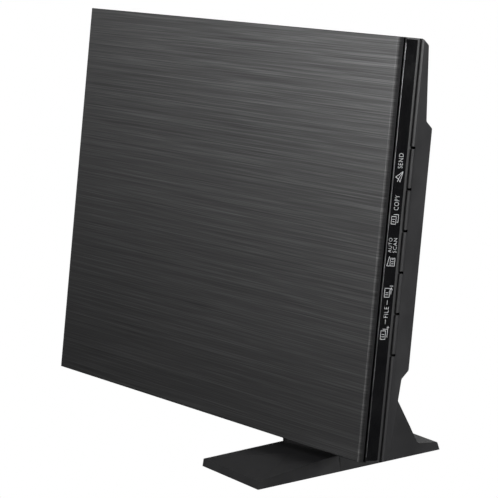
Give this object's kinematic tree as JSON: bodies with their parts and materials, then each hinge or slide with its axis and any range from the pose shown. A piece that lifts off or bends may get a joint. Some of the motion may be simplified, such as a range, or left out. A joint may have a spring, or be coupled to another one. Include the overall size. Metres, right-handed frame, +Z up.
{
  "type": "book scanner",
  "caption": "Slim flatbed book scanner standing on its long edge in a small stand, with a hairline lid on lifting hinges, front-edge buttons and a moving sensor carriage.",
  "frame": {"origin": "on the floor under the centre of the whole object's box, stand and scanner together", "axes": "+Z up; +X along the scanner from its hinge end to its button end; +Y from the lid's side to the back of the stand"},
  "size_m": [0.377, 0.1328, 0.2639],
  "materials": {
    "lid_brushed": "dark grey plastic moulded with fine brushed hairlines along the length",
    "black_case": "black plastic with a fine moulded grain",
    "black_gloss": "polished black plastic",
    "button_plastic": "satin dark plastic",
    "inner_plastic": "plain black moulded plastic",
    "platen_glass": "clear float glass",
    "white_strip": "matt white reference film",
    "pad_foam": "light grey closed-cell foam",
    "pad_white": "smooth white sheet",
    "rubber": "black rubber",
    "steel": "ground steel",
    "screw_steel": "black zinc plated steel",
    "circuit_board": "green solder mask",
    "connector_metal": "tin plated steel shell",
    "cable_film": "flat flexible cable",
    "gear_white": "natural acetal",
    "motor_metal": "zinc plated motor can",
    "brass": "machined brass",
    "lens_glass": "rod lens strip",
    "clear_guide": "clear acrylic light guide",
    "bush_plastic": "oil filled sleeve"
  },
  "bodies": {
    "stand": {"stand_base": "black_case", "stand_pads": "rubber"},
    "scanner": {"base_shell": "black_case", "base_feet": "rubber", "case_screws": "screw_steel", "platen_frame": "black_case", "platen_glass": "platen_glass", "calibration_strip": "white_strip", "label_strip": "black_gloss", "guide_rod": "steel", "rod_clips": "inner_plastic", "drive_rack": "gear_white", "main_board": "circuit_board", "usb_socket": "connector_metal", "flex_cable": "cable_film", "button_board": "circuit_board", "button_switches": "connector_metal"},
    "hinge_legs": {"hinge_leg_lower": "inner_plastic", "hinge_leg_upper": "inner_plastic", "hinge_pins": "steel"},
    "lid": {"lid_cover": "lid_brushed", "lid_inner_panel": "inner_plastic", "document_pad": "pad_foam", "pad_sheet": "pad_white"},
    "carriage": {"carriage_tray": "inner_plastic", "rod_bushes": "bush_plastic", "sensor_housing": "inner_plastic", "lens_array": "lens_glass", "light_guide": "clear_guide", "sensor_board": "circuit_board", "glass_spacers": "gear_white", "carriage_springs": "steel", "motor_bracket": "steel", "scan_motor": "motor_metal", "gear_axle": "steel"},
    "motor_rotor": {"motor_shaft": "steel", "motor_pinion": "brass"},
    "reduction_gear": {"reduction_gear": "gear_white"},
    "button_add_page": {"button_add_page": "button_plastic"},
    "button_finish": {"button_finish": "button_plastic"},
    "button_auto_scan": {"button_auto_scan": "button_plastic"},
    "button_copy": {"button_copy": "button_plastic"},
    "button_send": {"button_send": "button_plastic"}
  },
  "joints": [
    {"name": "stand_lift_off", "type": "slide", "parent": "stand", "child": "scanner", "axis": [-0.041, 0.1757, 0.9836], "range_m": [0, 0.06]},
    {"name": "hinge_lift", "type": "slide", "parent": "scanner", "child": "hinge_legs", "axis": [-0.0073, -0.9844, 0.1756], "range_m": [0, 0.018]},
    {"name": "lid_hinge", "type": "hinge", "parent": "hinge_legs", "child": "lid", "pos_m": [-0.18018, 0.00361, 0.12537], "axis": [0.041, -0.1757, -0.9836], "range_deg": [0, 100]},
    {"name": "carriage_slide", "type": "slide", "parent": "scanner", "child": "carriage", "axis": [0.9991, 0, 0.0416], "range_m": [0, 0.305]},
    {"name": "motor_spin", "type": "hinge", "parent": "carriage", "child": "motor_rotor", "pos_m": [-0.14928, 0.02848, 0.14763], "axis": [0.0073, 0.9844, -0.1756], "range_deg": [-1, 10403]},
    {"name": "gear_spin", "type": "hinge", "parent": "carriage", "child": "reduction_gear", "pos_m": [-0.14982, 0.03077, 0.16041], "axis": [0.0073, 0.9844, -0.1756], "range_deg": [-3122, 1]},
    {"name": "press_add_page", "type": "slide", "parent": "scanner", "child": "button_add_page", "axis": [-0.9991, 0, -0.0416], "range_m": [0, 0.0007], "stiffness_N_per_m": 900, "springref_m": -0.0006},
    {"name": "press_finish", "type": "slide", "parent": "scanner", "child": "button_finish", "axis": [-0.9991, 0, -0.0416], "range_m": [0, 0.0007], "stiffness_N_per_m": 900, "springref_m": -0.0006},
    {"name": "press_auto_scan", "type": "slide", "parent": "scanner", "child": "button_auto_scan", "axis": [-0.9991, 0, -0.0416], "range_m": [0, 0.0007], "stiffness_N_per_m": 900, "springref_m": -0.0006},
    {"name": "press_copy", "type": "slide", "parent": "scanner", "child": "button_copy", "axis": [-0.9991, 0, -0.0416], "range_m": [0, 0.0007], "stiffness_N_per_m": 900, "springref_m": -0.0006},
    {"name": "press_send", "type": "slide", "parent": "scanner", "child": "button_send", "axis": [-0.9991, 0, -0.0416], "range_m": [0, 0.0007], "stiffness_N_per_m": 900, "springref_m": -0.0006}
  ],
  "couplings": [
    {"joint": "gear_spin", "follows": "carriage_slide", "rad_per_m": -178.57},
    {"joint": "motor_spin", "follows": "carriage_slide", "rad_per_m": 595.24}
  ]
}
